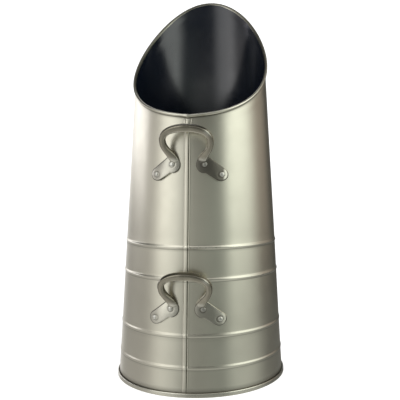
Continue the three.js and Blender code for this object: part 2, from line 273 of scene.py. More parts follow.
def seam_rise(side, below):
    """Rise of the lock seam at a side distance from the body's front line and below the mouth.

    A crowned band with a soft left edge, then the groove that its folded edge leaves, then a low ridge.
    Near the mouth the folds flare: the groove swings right and a second one opens on the left.
    """
    flare = seam_flare(below)
    groove = 0.55 + 2.6 * flare
    left = -4.35 - 0.5 * flare
    crown = 1.0 + 0.11 * (side + 2.2) - 0.022 * (side + 2.2) ** 2
    band = smoothstep(left - 0.6, left + 0.8, side) * smoothstep(groove + 0.1, groove - 0.5, side)
    ridge = 0.28 * hump(side, groove + 1.3, 0.75)
    cut = 0.22 * hump(side, groove, 0.4)
    fold = 0.75 * hump(side, -1.0 - 3.0 * flare, 0.5) * smoothstep(9.5, 6.5, below)
    return np.maximum(crown, 0) * band + ridge - cut - fold * band


def sheet_wave(bearing, z):
    """Gentle unevenness of the rolled sheet, a sum of long waves a tenth of a millimetre high."""
    wave = 0.10 * np.sin(3 * bearing + 0.7) * np.sin(z / 52 + 1.1)
    wave = wave + 0.05 * np.sin(5 * bearing + 2.0 + z / 70)
    wave = wave + 0.03 * np.sin(9 * bearing - z / 31)
    return wave


def body_columns():
    """Side distances of the columns at the foot: close together over the seam, even elsewhere."""
    seam = np.arange(-7.0, 6.0, 0.33)
    rest = np.linspace(seam[-1] + 0.9, FULL_TURN * FOOT_RADIUS + seam[0] - 0.9, 350)
    return np.concatenate([seam, rest])


def column_bearing(side_at_foot, z):
    """Bearing of a column at a height: near the seam it keeps its distance, elsewhere its bearing."""
    around = FULL_TURN * FOOT_RADIUS
    side = (side_at_foot + around / 2) % around - around / 2
    near = 1 - smoothstep(8, 40, np.abs(side))
    radius = FOOT_RADIUS + (wall_radius(z) - FOOT_RADIUS) * near
    return side / radius


def bead_rows(low, high, spacing, steps):
    """Heights from low to high, evenly apart, with closer ones over each bead between them."""
    heights = [np.arange(low, high, spacing)]
    heights += [bead + np.linspace(-BEAD_SPAN, BEAD_SPAN, steps) for bead in BEAD_HEIGHTS]
    heights = np.sort(np.concatenate(heights))
    keep = np.concatenate([[True], np.diff(heights) > 0.25])
    return heights[keep]


def body_grid():
    """The closed section of the sheet carried round the axis.

    Rows go up the outside over flange, beads and wall, round the wire, back round the roll's outside,
    and down the inside. Outside, a point is the wall plus beads, seam and unevenness.
    """
    side = body_columns()[None, :]
    rows, painted_shade, wear_and_highlight = [], [], []

    def add(points, darkening=0.0, rubbed=0.0):
        rows.append(points)
        painted_shade.append(np.broadcast_to(darkening, points.shape[:-1]))
        wear_and_highlight.append(np.broadcast_to(rubbed, points.shape[:-1]))

    def outside(z, below):
        """Bearing, distance from the seam and rise off the plain wall, for rows of points."""
        bearing = column_bearing(side, z)
        across = bearing * wall_radius(z)
        seam = seam_rise(across, below) * smoothstep(5.6, 6.4, z)
        wave = sheet_wave(bearing, z) * smoothstep(4, 30, z) * smoothstep(1, 14, below)
        return bearing, across, bead_rise(z) + seam + wave

    def crevice_shade(across, z, below):
        """Painted shade along the seam, just over the foot, close under the rim and under each bead."""
        groove = hump(across, 0.5 + 2.6 * seam_flare(below), 0.5) + 0.22 * hump(across, -5.2, 0.7)
        foot = np.exp(-np.maximum(z - 6.2, 0) / 1.1)
        rim = np.exp(-np.maximum(below - 2.5, 0) / 0.8)
        creases = sum(0.5 * hump(z, bead - 2.6, 0.6) for bead in BEAD_HEIGHTS)
        return np.clip(groove + foot + rim + creases, 0, 1)

    # Over the flange, and level rows up the outside.
    flange_bottom, flange_top = SHEET + CLEARANCE, 2 * SHEET + CLEARANCE
    base = column_bearing(side, 0.0)
    for z, turned_out in ((flange_bottom, FLANGE_WIDTH), (flange_top, FLANGE_WIDTH), (flange_top, 0.0)):
        add(polar(base, wall_radius(z) + turned_out, z))
    z = bead_rows(2.4, SLANT_START, 9.0, 13)[:, None]
    far_below = np.full_like(z, 100.0)
    bearing, across, rise = outside(z, far_below)
    bead_tops = 0.4 * smoothstep(0.5, 1.0, bead_rise(z))
    add(polar(bearing, wall_radius(z) + rise, z), crevice_shade(across, z, far_below), bead_tops)

    # Rows that slant more and more, up to a little below the mouth.
    mouth_bearing = column_bearing(side, FRONT_HEIGHT)
    ceiling = mouth_height(mouth_bearing) - 11.5 - 5 * np.sin(mouth_bearing) ** 2
    z = SLANT_START + (ceiling - SLANT_START) * np.linspace(0, 1, 26)[1:, None] ** 0.9
    below = mouth_height(column_bearing(side, z)) - z
    bearing, across, rise = outside(z, below)
    add(polar(bearing, wall_radius(z) + rise, z), crevice_shade(across, z, below))

    # Rows that keep their distance from the mouth's edge.
    edge = mouth_bearing[0]
    across = (edge * wall_radius(FRONT_HEIGHT))[None, :]
    below = np.array([8.0, 6.4, 5.0, 3.8, 2.8, 2.2])[:, None]
    rise = seam_rise(across, below) * smoothstep(1.9, 3.2, below)
    rise = rise + sheet_wave(edge, mouth_height(edge)) * smoothstep(1, 14, below)
    add(off_mouth(edge, below, rise), crevice_shade(across, FRONT_HEIGHT, below))

    # Round the wire and back round the roll's outside, which is thicker where it takes in the seam.
    swell = 1 + 0.22 * hump(across, -1.6, 3.4)
    roll_end = 292

    def roll(angle, radius):
        """Points at a radius round the wire's middle, by the angle from the wall."""
        return off_mouth(
            edge, -radius * swell * np.sin(angle), ROLL_INNER * swell - radius * swell * np.cos(angle)
        )

    # Painted shade all round the inside of the roll, about the wire.
    add(roll(np.radians(np.linspace(0, roll_end, 13))[:, None], ROLL_INNER), 0.9)
    angle = np.radians(np.linspace(roll_end, 0, 25))[:, None]
    # Outside the roll: painted shade under it; away from the front its inner half and top are darker,
    # most of all on the left; on the front its top is worn.
    front = smoothstep(0.2, 0.75, np.cos(edge))
    under = smoothstep(np.radians(215), np.radians(285), angle)
    off_front_darkening = 0.9 * smoothstep(np.radians(110), np.radians(70), angle)
    off_front_darkening = (1 - front) * (off_front_darkening + 0.3 * smoothstep(-0.4, -1.2, edge) + 0.12)
    darkening = np.clip(np.maximum(under, off_front_darkening), 0, 1)
    add(roll(angle, ROLL_OUTER), darkening, front * hump(angle, 1.9, 0.9))

    # Down the inside to the foot.
    below = np.array([1.5, 4.0, 8.0])[:, None]
    add(off_mouth(edge, below, -SHEET))
    z = SLANT_START + (ceiling - SLANT_START) * np.linspace(1, 0, 9)[:, None]
    add(polar(column_bearing(side, z), wall_radius(z) - SHEET, z))
    z = bead_rows(2.4, SLANT_START - 4, 16.0, 7)[::-1, None]
    add(polar(column_bearing(side, z), wall_radius(z) - SHEET + bead_rise(z), z))
    add(polar(base, wall_radius(flange_bottom) - SHEET, flange_bottom))
    return {
        "points": np.concatenate(rows),
        "ring_rows": True,
        "values": {"painted_shade": np.concatenate(painted_shade), "wear_and_highlight": np.concatenate(wear_and_highlight)},
    }


def wire_grid():
    """The wire in the roll: a circle carried round the mouth's edge."""
    bearing = np.linspace(0, FULL_TURN, 240, endpoint=False)[None, :]
    angle = np.linspace(0, FULL_TURN, 12, endpoint=False)[:, None]
    bearing, angle = np.broadcast_arrays(bearing, angle)
    points = off_mouth(bearing, WIRE_RADIUS * np.sin(angle), ROLL_INNER + WIRE_RADIUS * np.cos(angle))
    return {"points": points, "ring_rows": True}


def inside_paint_grid():
    """The black paint as a thin skin inside the sheet and over the pan.

    Rows go down the wall from a little under the rim, over the pan's ring and slope to the middle of
    the bottom, and back the same way on the other side of the skin.
    """
    gap, thick = 0.06, 0.1
    bearing = np.linspace(0, FULL_TURN, 260, endpoint=False)[None, :]
    edge_line = 1.2 + 0.25 * np.sin(bearing * 7 + 1) * np.sin(bearing * 3) + 0.12 * np.sin(bearing * 23)
    over_pan = [(108.9, 2.0), (108.6, 1.2), (107.8, 0.7), (104.4, 0.7), (103.2, 1.0), (98.6, 6.0)]
    over_pan += [(radius, PAN_RECESS + SHEET) for radius in (97.4, 90, 70, 45, 20, 6, 0)]
    over_pan = np.array(over_pan)
    skin = []
    for inset in (gap + thick, gap):
        top = off_mouth(bearing, edge_line, -SHEET - inset)
        low = off_mouth(bearing, edge_line + 6, -SHEET - inset)
        z = SLANT_START + (mouth_height(bearing) - 14.0 - SLANT_START) * np.linspace(1, 0, 16)[:, None]
        upper = polar(bearing, wall_radius(z) - SHEET - inset, z)
        z = bead_rows(3.0, SLANT_START - 4, 16.0, 9)[::-1, None]
        lower = polar(bearing, wall_radius(z) - SHEET - inset + bead_rise(z), z)
        radius = np.maximum(over_pan[:, :1] - inset * 0.3, 0)
        floor = polar(bearing, radius, over_pan[:, 1:] + inset)
        skin.append(np.concatenate([top, low, upper, lower, floor]))
    points = np.concatenate([skin[0], skin[1][::-1]])
    return {"points": points, "ring_rows": True}


# ---- The pan ----


def rounded(corners, radii, steps=7):
    """A path through corners, each inner one rounded to its own radius by an arc of equal steps."""
    corners = np.asarray(corners, float)
    path = [corners[:1]]
    for before, corner, after, radius in zip(corners, corners[1:], corners[2:], radii):
        back, ahead = before - corner, after - corner
        back, ahead = back / np.hypot(*back), ahead / np.hypot(*ahead)
        half = np.arccos(back @ ahead) / 2
        start, end = corner + back * radius / np.tan(half), corner + ahead * radius / np.tan(half)
        centre = corner + (back + ahead) / np.hypot(*(back + ahead)) * radius / np.sin(half)
        share = np.linspace(0, 1, steps)[:, None]
        turn = np.pi - 2 * half
        arc = (start - centre) * np.sin((1 - share) * turn) + (end - centre) * np.sin(share * turn)
        path.append(centre + arc / np.sin(turn))
    path.append(corners[-1:])
    return np.concatenate(path)


def pan_grid():
    """The bottom turned round the axis: recess, slope, the ring it stands on, and the hem.

    The sheet's middle line is a rounded path of radius and height, and its two faces lie half a sheet
    to each side. The hem's outside is a little uneven, as a rolled edge is.
    """
    half = SHEET / 2
    inner = FOOT_RADIUS + CLEARANCE + half
    outer = FOOT_RADIUS + FLANGE_WIDTH + CLEARANCE + half
    bottom, hem_top = PAN_RECESS + half, 5.4 - half
    corners = [(0, bottom), (98, bottom), (103, half), (outer, half)]
    corners += [(outer, hem_top), (inner, hem_top), (inner, 2.0)]
    slope_bend, hem_bend = 1.5, 0.62
    path = rounded(corners, [slope_bend] * 2 + [hem_bend] * 3)
    tangent = np.gradient(path, axis=0)
    tangent /= np.hypot(tangent[:, 0], tangent[:, 1])[:, None]
    offset = np.stack([tangent[:, 1], -tangent[:, 0]], axis=1) * half
    section = np.concatenate([path + offset, (path - offset)[::-1]])
    bearing = np.linspace(0, FULL_TURN, 300, endpoint=False)[None, :]
    radius, z = section[:, :1], section[:, 1:]
    on_hem = smoothstep(FOOT_RADIUS + 0.6, FOOT_RADIUS + 1.6, radius) * smoothstep(1.0, 3.0, z)
    uneven = 0.09 * np.sin(bearing * 17 + 1) + 0.06 * np.sin(bearing * 41)
    uneven = uneven + 0.05 * np.sin(bearing * 29 + 2)
    radius = np.maximum(radius, 0) + (uneven - 0.12) * on_hem
    wear_and_highlight = on_hem * smoothstep(2.0, 4.2, z) + 0 * bearing
    # Painted shade in the crevice over the hem, and a little at the very bottom edge.
    painted_shade = smoothstep(FOOT_RADIUS + 1.7, FOOT_RADIUS + 0.9, radius) * smoothstep(3.0, 4.5, z)
    painted_shade = np.clip(painted_shade + 0.35 * smoothstep(1.2, 0.2, z), 0, 1)
    values = {"painted_shade": painted_shade, "wear_and_highlight": wear_and_highlight}
    return {"points": polar(bearing, radius, z), "ring_rows": True, "values": values}


# ---- Handles ----

LEG_SIDE, LEG_HEIGHT = 17.0, 6.0
BOW_HALF_WIDTH, SHOULDER_HEIGHT = 29.0, 28.5
GRIP_HEIGHT, GRIP_STAND_OFF = 43.0, 18.5
TAB_END_RADIUS, TAB_LOBE_RADIUS = 8.0, 10.5


def bezier(points, count):
    """A cubic curve through four controls, at even steps of its parameter."""
    t = np.linspace(0, 1, count)[:, None]
    a, b, c, d = points
    return (1 - t) ** 3 * a + 3 * (1 - t) ** 2 * t * b + 3 * (1 - t) * t**2 * c + t**3 * d


def bow_line(height):
    """Centre line of the bow in its leaning plane, legs and squarish arch, at even distances.

    Each leg starts a little below the CAD's, inside the tab, so that the casting flows together.
    """
    splay, squareness = 0.6, 0.62
    reach = 0.45 * (SHOULDER_HEIGHT - LEG_HEIGHT)
    arch = GRIP_HEIGHT - SHOULDER_HEIGHT

    def at(side, up):
        share = (up - LEG_HEIGHT) / (GRIP_HEIGHT - LEG_HEIGHT)
        out = CLEARANCE + (GRIP_STAND_OFF - CLEARANCE) * share
        return np.array([side, -wall_radius(height) - out, height + up])

    steps_in = ((1.2, 2), (0.8, 1.4), (0.4, 0.7))
    foot = [at(LEG_SIDE - inward, LEG_HEIGHT - down) for inward, down in steps_in]
    leg_start, leg_end = at(LEG_SIDE, LEG_HEIGHT), at(BOW_HALF_WIDTH, SHOULDER_HEIGHT)
    leg_bends = [
        at(LEG_SIDE + splay * reach, LEG_HEIGHT + reach),
        at(BOW_HALF_WIDTH, SHOULDER_HEIGHT - reach),
    ]
    arch_bends = [
        at(BOW_HALF_WIDTH, SHOULDER_HEIGHT + arch * squareness),
        at(BOW_HALF_WIDTH * squareness, GRIP_HEIGHT),
    ]
    half = [
        bezier([*foot, leg_start], 8)[:-1],
        bezier([leg_start, *leg_bends, leg_end], 60)[:-1],
        bezier([leg_end, *arch_bends, at(0, GRIP_HEIGHT)], 60),
    ]
    half = np.concatenate(half)
    line = np.concatenate([half, (half * [-1, 1, 1])[-2::-1]])
    run = np.concatenate([[0], np.cumsum(np.linalg.norm(np.diff(line, axis=0), axis=1))])
    even = np.linspace(0, run[-1], 170)
    return np.stack([np.interp(even, run, line[:, k]) for k in range(3)], axis=1)


def bow_grid(height):
    """The bar: a squared oval carried along the bow's line, wide and flat at its feet.

    The section is a superellipse: the n-th powers of the place across over the half width, and of the
    place in depth over the half depth, add up to one. With n near 3 its four soft corners run along the
    bar as ridges. The half width and half depth change from foot to leg to grip.
    """
    line = bow_line(height)
    lean = np.arctan2(GRIP_STAND_OFF - CLEARANCE, GRIP_HEIGHT - LEG_HEIGHT)
    deep = np.array([0, -np.cos(lean), -np.sin(lean)])
    tangent = np.gradient(line, axis=0)
    across = np.cross(deep, tangent)
    across /= np.linalg.norm(across, axis=1, keepdims=True)
    share = np.linspace(0, 1, len(line))
    end = np.minimum(share, 1 - share)
    lower, upper = smoothstep(0.02, 0.17, end), smoothstep(0.25, 0.5, end)
    foot, leg, grip = np.array([5.2, 3.0]), np.array([3.9, 4.0]), np.array([4.7, 4.4])
    wide, thick = (foot + (leg - foot) * lower[:, None] + (grip - leg) * upper[:, None]).T
    around, squareness = 40, 3.1
    angle = np.linspace(0, FULL_TURN, around, endpoint=False)
    power = 2 / squareness
    cos = np.sign(np.cos(angle)) * np.abs(np.cos(angle)) ** power
    sin = np.sign(np.sin(angle)) * np.abs(np.sin(angle)) ** power
    lumps = 1 + 0.012 * np.sin(share * 61 + 1) + 0.01 * np.sin(share * 37)
    ring = line[:, None] + across[:, None] * (wide * lumps)[:, None, None] * cos[None, :, None]
    ring = ring + deep * (thick * lumps)[:, None, None] * sin[None, :, None]
    first, last = (np.repeat(point[:, None], around, 1) for point in (line[:1], line[-1:]))
    return clear_of_wall(np.concatenate([first, ring, last]))


def clear_of_wall(points):
    """Pushes points out to the casting's seat, a hair's breadth off the wall and its beads."""
    radius = np.hypot(points[..., 0], points[..., 1])
    z = points[..., 2]
    seat = wall_radius(z) + bead_rise(z, 1.1) + CLEARANCE
    grow = np.maximum(seat / radius, 1)
    return points * np.stack([grow, grow, np.ones_like(grow)], axis=-1)


def tab_outline(count):
    """Outline of the right-hand tab seen from the front, as even points round it.

    A small circle round the outer rivet and a larger lobe round the inner one, joined by a straight
    edge above and by an edge below that runs along the slope and meets the lobe in a step.
    """
    slope = np.arctan2(-RIVET_DROP, OUTER_RIVET_SIDE - INNER_RIVET_SIDE)
    top = slope + np.arccos((TAB_LOBE_RADIUS - TAB_END_RADIUS) / RIVETS_APART)
    step = slope - np.arcsin(TAB_END_RADIUS / TAB_LOBE_RADIUS)

    def arc(start, end, steps, side, up, radius):
        angles = np.linspace(start, end, steps)
        return np.stack([side + radius * np.cos(angles), up + radius * np.sin(angles)], axis=1)

    small = arc(slope - np.pi / 2, top, 80, OUTER_RIVET_SIDE, -RIVET_DROP, TAB_END_RADIUS)
    large = arc(top, step + FULL_TURN, 120, INNER_RIVET_SIDE, 0.0, TAB_LOBE_RADIUS)
    outline = np.concatenate([small, large, small[:1]])
    run = np.concatenate([[0], np.cumsum(np.hypot(*np.diff(outline, axis=0).T))])
    even = np.linspace(0, run[-1], count, endpoint=False)
    return np.stack([np.interp(even, run, outline[:, k]) for k in range(2)], axis=1)


def tab_swell(side, up, height):
    """How far a tab's face departs from one bent round the wall, in its plan's side and height.

    It is filed flatter, which lowers its ends. A flat face would lie lower by the squared distance from
    its middle over twice the wall's radius, and the filing reaches most of that. It also leans back a
    little, thicker below than above.
    """
    filed = 0.85 * (side - TAB_MIDDLE[0]) ** 2 / (2 * wall_radius(height))
    return 0.4 - filed - 0.05 * np.clip(up + 5, -14, 14)


def tab_grid(height, hand):
    """One tab: rings of the outline drawn in to a point, over the top and back along the underside.

    Its face is a little crowned and sinks in a shallow ring round each rivet, its edge is rounded, and
    every point is laid on the cone at its own distance out of the wall.
    """
    outline = tab_outline(240)
    ahead, behind = np.roll(outline, -3, axis=0), np.roll(outline, 3, axis=0)
    tangent = ahead - behind
    tangent /= np.hypot(tangent[:, 0], tangent[:, 1])[:, None]
    inward = np.stack([-tangent[:, 1], tangent[:, 0]], axis=1)
    edge_round = 0.9
    turn = np.radians(np.linspace(90, 0, 6))
    inset = edge_round * (1 - np.cos(turn))
    lift = TAB_FACE - edge_round * (1 - np.sin(turn))
    rim = outline[None] + inward[None] * inset[:, None, None]
    share = np.linspace(0, 1, 24)[:-1, None] ** 0.8
    inner = TAB_MIDDLE + (rim[0] - TAB_MIDDLE) * share[..., None]
    plan = np.concatenate([inner, rim, rim[-1:], inner[::-1]])
    near_outer = np.hypot(plan[..., 0] - OUTER_RIVET_SIDE, plan[..., 1] + RIVET_DROP)
    near_inner = np.hypot(plan[..., 0] - INNER_RIVET_SIDE, plan[..., 1])
    dish = 0.2 * (hump(near_outer, 3.7, 0.7) + hump(near_inner, 3.7, 0.7))
    crown = 0.3 * (1 - share**2) + TAB_FACE - dish[: len(inner)]
    crown = crown + tab_swell(inner[..., 0], inner[..., 1], height)
    rim_lift = lift[:, None] + tab_swell(rim[..., 0], rim[..., 1], height)
    under = np.full((1 + len(inner), len(outline)), CLEARANCE)
    out = np.concatenate([crown, rim_lift, under])
    side, up = hand * plan[..., 0], plan[..., 1]
    z = height + up
    reach = wall_radius(z)
    bearing = np.arcsin(side / (reach + out))
    return clear_of_wall(polar(bearing, reach + out, z))


def cast_mesh(which):
    """One casting: bar and tabs melted into one skin and smoothed.

    The voxel remesh joins the closed forms, and the smoothing leaves the fillets that a mould does.
    """
    height = HANDLE_HEIGHTS[which]
    grids = [{"points": bow_grid(height)}]
    grids += [{"points": tab_grid(height, hand)} for hand in (-1, 1)]
    mesh = make_mesh(f"{which}_casting", grids)
    tidy_mesh(mesh)
    piece = bpy.data.objects.new(f"{which}_casting", mesh)
    bpy.context.scene.collection.objects.link(piece)
    melt = piece.modifiers.new("melt", "REMESH")
    melt.mode = "VOXEL"
    melt.voxel_size = 0.42 * MM
    melt.use_smooth_shade = True
    ease = piece.modifiers.new("ease", "SMOOTH")
    ease.factor, ease.iterations = 0.6, 7
    done = bpy.data.meshes.new_from_object(piece.evaluated_get(bpy.context.evaluated_depsgraph_get()))
    bpy.data.objects.remove(piece)
    done.shade_smooth()
    done.name = f"{which}_bow"
    return done


def casting_marks(which, points, facing):
    """Wear, painted highlights and painted shade of a casting, from the place of each point and its
    facing.

    Wear browns the bar, but less so where it faces down, on the right leg's inner side and at one spot
    of the right shoulder: these are painted highlights. Painted shade lies round the rivets, where the
    casting meets the wall and along the tabs' edges, and it darkens the bar's top and outer flanks and
    the right-hand tab.
    """
    x, facing_x, facing_up = points[:, 0], facing[:, 0], facing[:, 2]
    side, up = np.abs(x), points[:, 2] - HANDLE_HEIGHTS[which]
    out = np.hypot(x, points[:, 1]) - wall_radius(points[:, 2])
    on_bar = smoothstep(3, 10, up) * smoothstep(2.2, 4.8, out)

    # Painted highlights: the bar is less browned where it faces down, on the right leg's inner side and
    # at one spot of the right shoulder.
    underside = 0.85 * smoothstep(-0.5, -0.8, facing_up)
    leg_inside = 0.75 * (x > 8) * smoothstep(0.45, 0.8, -facing_x)
    shoulder = hump(x, 25.5, 4.0) * hump(up, 36.5, 4.5) * smoothstep(-0.6, -0.2, facing_up)
    wear_and_highlight = on_bar * (1 - underside) * (1 - leg_inside) * (1 - shoulder)

    # Painted shade on the bar's top and its outer flanks.
    on_top = 0.6 * smoothstep(0.3, 0.7, facing_up) * smoothstep(30, 20, side)
    flanks = 0.5 * smoothstep(0.5, 0.9, np.where(x < 0, np.abs(facing_x), facing_x))
    top_and_flank_shade = on_bar * np.maximum(on_top, flanks)

    # Painted shade in rings round the rivets.
    ends = hump(np.hypot(side - OUTER_RIVET_SIDE, up + RIVET_DROP), 3.4, 0.5)
    lobes = hump(np.hypot(side - INNER_RIVET_SIDE, up), 3.4, 0.5)
    round_rivets = 0.7 * (ends + lobes) * smoothstep(6, 4, out)

    # How far a point lies outside the tab's outline, measured from the line between its two rivets.
    run = OUTER_RIVET_SIDE - INNER_RIVET_SIDE
    share = np.clip(((side - INNER_RIVET_SIDE) * run - up * RIVET_DROP) / RIVETS_APART**2, 0, 1)
    off_line = np.hypot(side - INNER_RIVET_SIDE - share * run, up + share * RIVET_DROP)
    outside = off_line - TAB_LOBE_RADIUS + share * (TAB_LOBE_RADIUS - TAB_END_RADIUS)
    # Painted shade along the tabs' edges, on the right-hand tabs only where they don't face up, and where
    # the casting meets the wall.
    edges = smoothstep(-1.3, -0.5, outside) * smoothstep(4.5, 3.0, out)
    edges = edges * (1 - (x > 0) * smoothstep(0.1, 0.55, facing_up))
    seat = np.maximum(smoothstep(1.2, 0.4, out), edges)

    # Painted shade over the right-hand tab, off the bar.
    right_shade = RIGHT_TAB_SHADE[which] * (x > 0) * smoothstep(44, 41, x)
    right_shade = right_shade * smoothstep(5.5, 4.0, out) * (1 - on_bar)
    return {"wear_and_highlight": wear_and_highlight, "painted_shade": np.clip(round_rivets + seat + right_shade + top_and_flank_shade, 0, 1)}


def handle_piece(which, material):
    """One handle, cast, marked and put in its place."""
    mesh = cast_mesh(which)
    places = body_frame(vectors_of(mesh.vertices, "co"))
    set_marks(mesh, casting_marks(which, places, vectors_of(mesh.vertex_normals, "vector")))
    return place(f"{which}_bow", mesh, [material], [f"{which}_handle"])


# ---- Rivets ----


def rivet_grid(which, hand, outer, right_shade):
    """A rivet turned round its own axis: tail inside the wall, shank, and a peened dome over the tab.

    The dome is uneven: its rim wanders a little and its top is struck flat off the middle, each rivet
    in its own way. A painted shade dulls the dome.
    """
    seed = 1.0 + 2.3 * hand + 1.7 * outer + HANDLE_HEIGHTS[which]
    side = hand * (OUTER_RIVET_SIDE if outer else INNER_RIVET_SIDE)
    height = HANDLE_HEIGHTS[which]
    z = height - (RIVET_DROP if outer else 0)
    bearing = np.arcsin(side / wall_radius(z))
    seat = polar(bearing, wall_radius(z), z)
    out = wall_normal(bearing)
    level = np.array([np.cos(bearing), np.sin(bearing), 0.0])
    rise = np.cross(out, level)
    head = TAB_FACE - 0.12 + tab_swell(abs(side), z - height, height)
    turn = np.radians(np.linspace(-8, 90, 13))
    swell = 1.15
    dome_lift = head + 0.2 + swell * np.maximum(np.sin(turn), 0) ** 1.2
    dome = np.stack([HEAD_RADIUS * np.cos(turn), dome_lift], axis=1)
    turn = np.radians(np.linspace(-90, -10, 7))
    tail = np.stack([TAIL_RADIUS * np.cos(turn), -SHEET - 0.25 + swell * np.sin(turn)], axis=1)
    shank = [[2.9, -SHEET - 0.1], [SHANK_RADIUS, -SHEET], [SHANK_RADIUS, head], [2.75, head]]
    profile = np.concatenate([tail, shank, dome])
    angle = np.linspace(0, FULL_TURN, 36, endpoint=False)[None, :]
    radius, lift = profile[:, :1], profile[:, 1:]
    on_dome = smoothstep(head, head + 0.4, lift)
    wander = 0.03 * np.sin(angle * 2 + seed) + 0.02 * np.sin(angle * 5 + 2 * seed)
    radius = radius * (1 + on_dome * wander)
    x, y = radius * np.cos(angle), radius * np.sin(angle)
    struck = hump(np.hypot(x - 0.7 * np.cos(seed), y - 0.7 * np.sin(seed)), 0, 1.5)
    lift = lift - 0.18 * struck * on_dome
    points = seat + x[..., None] * level + y[..., None] * rise + lift[..., None] * out
    # Painted shade in the crevice round the dome's foot, and over the dome of a shaded rivet.
    painted_shade = np.clip(hump(lift, head + 0.05, 0.3) * smoothstep(2.2, 2.9, radius), 0, 1)
    painted_shade = np.maximum(painted_shade, right_shade * on_dome)
    wear_and_highlight = smoothstep(head + 0.6, head + 1.2, lift) * (1 - right_shade)
    return {"points": points, "values": {"painted_shade": painted_shade, "wear_and_highlight": wear_and_highlight}}


def rivet_piece(which, hand, outer, plate, paint):
    """One rivet in its place, its tail painted black with the inside of the wall."""
    node = f"{which}_rivet_{'left' if hand < 0 else 'right'}_{'outer' if outer else 'inner'}"
    # Painted shade over the inner rivet of each right-hand tab.
    right_shade = RIGHT_RIVET_SHADE if hand > 0 and not outer else 0.0
    grid = rivet_grid(which, hand, outer, right_shade)
    rivet = build(f"{node}_peened", [grid], [plate, paint], [node], 70)
    faces = rivet.data.polygons
    centres = body_frame(vectors_of(faces, "center"))
    inside = np.hypot(centres[:, 0], centres[:, 1]) < wall_radius(centres[:, 2]) - SHEET / 2
    faces.foreach_set("material_index", inside.astype(np.int32))


# ---- Finishes ----


class Nodes:
    """A node tree under construction, of a material or a world: short ways to add what it needs."""

    def __init__(self, owner):
        owner.use_nodes = True
        self.tree = owner.node_tree
        self.tree.nodes.clear()

    def add(self, kind, **settings):
        node = self.tree.nodes.new(kind)
        for key, value in settings.items():
            setattr(node, key, value)
        return node

    def link(self, source, target):
        self.tree.links.new(source, target)

    def feed(self, socket, value):
        """Gives a socket a number, a tuple of numbers or the output of another node."""
        if isinstance(value, (int, float, tuple)):
            socket.default_value = value
        else:
            self.link(value, socket)

    def worked(self, kind, operation, *values):
        """The result of an operation on numbers, tuples and outputs."""
        node = self.add(kind, operation=operation)
        for socket, value in zip(node.inputs, values):
            self.feed(socket, value)
        return node.outputs[0]

    def math(self, operation, *values):
        return self.worked("ShaderNodeMath", operation, *values)

    def vector(self, operation, *values):
        return self.worked("ShaderNodeVectorMath", operation, *values)

    def times(self, first, second):
        return self.math("MULTIPLY", first, second)

    def spread(self, source, low, high, to_low=0.0, to_high=1.0):
        """A range of values eased onto another range."""
        node = self.add("ShaderNodeMapRange", interpolation_type="SMOOTHSTEP")
        for socket, value in zip(node.inputs, (source, low, high, to_low, to_high)):
            self.feed(socket, value)
        return node.outputs["Result"]


class Finish(Nodes):
    """A procedural finish under construction."""

    def __init__(self, name):
        self.material = bpy.data.materials.new(name)
        super().__init__(self.material)
        self.skin = self.add("ShaderNodeBsdfPrincipled")
        self.link(self.skin.outputs["BSDF"], self.add("ShaderNodeOutputMaterial").inputs["Surface"])
        self.place = self.add("ShaderNodeTexCoord").outputs["Object"]

    def noise(self, scale, detail=4.0, rough=0.55, stretch=None, distortion=0.0):
        """Noise over the piece, its scale in features per metre; stretch squeezes it along an axis."""
        node = self.add("ShaderNodeTexNoise")
        settings = {"Scale": scale, "Detail": detail, "Roughness": rough, "Distortion": distortion}
        for key, value in settings.items():
            node.inputs[key].default_value = value
        where = self.place
        if stretch:
            mapping = self.add("ShaderNodeMapping")
            mapping.inputs["Scale"].default_value = stretch
            self.link(where, mapping.inputs["Vector"])
            where = mapping.outputs["Vector"]
        self.link(where, node.inputs["Vector"])
        return node.outputs["Fac"]

    def marks(self, name):
        """A value that the mesh carries at each point, such as painted shade and wear."""
        return self.add("ShaderNodeAttribute", attribute_name=name).outputs["Fac"]

    def sum(self, first, *others):
        """The sum of several values."""
        for other in others:
            first = self.math("ADD", first, other)
        return first

    def blend(self, share, first, second):
        """A colour between two, each a colour or the output of another blend."""
        node = self.add("ShaderNodeMix", data_type="RGBA")
        self.link(share, node.inputs[0])
        for value, socket in ((first, node.inputs[6]), (second, node.inputs[7])):
            self.feed(socket, (*value, 1) if isinstance(value, tuple) else value)
        return node.outputs[2]

    def relief(self, height, depth, strength=1.0, under=None):
        """A bump of a real depth in metres, over another one if given."""
        node = self.add("ShaderNodeBump")
        node.inputs["Strength"].default_value = strength
        node.inputs["Distance"].default_value = depth
        self.link(height, node.inputs["Height"])
        if under is not None:
            self.link(under, node.inputs["Normal"])
        return node.outputs["Normal"]


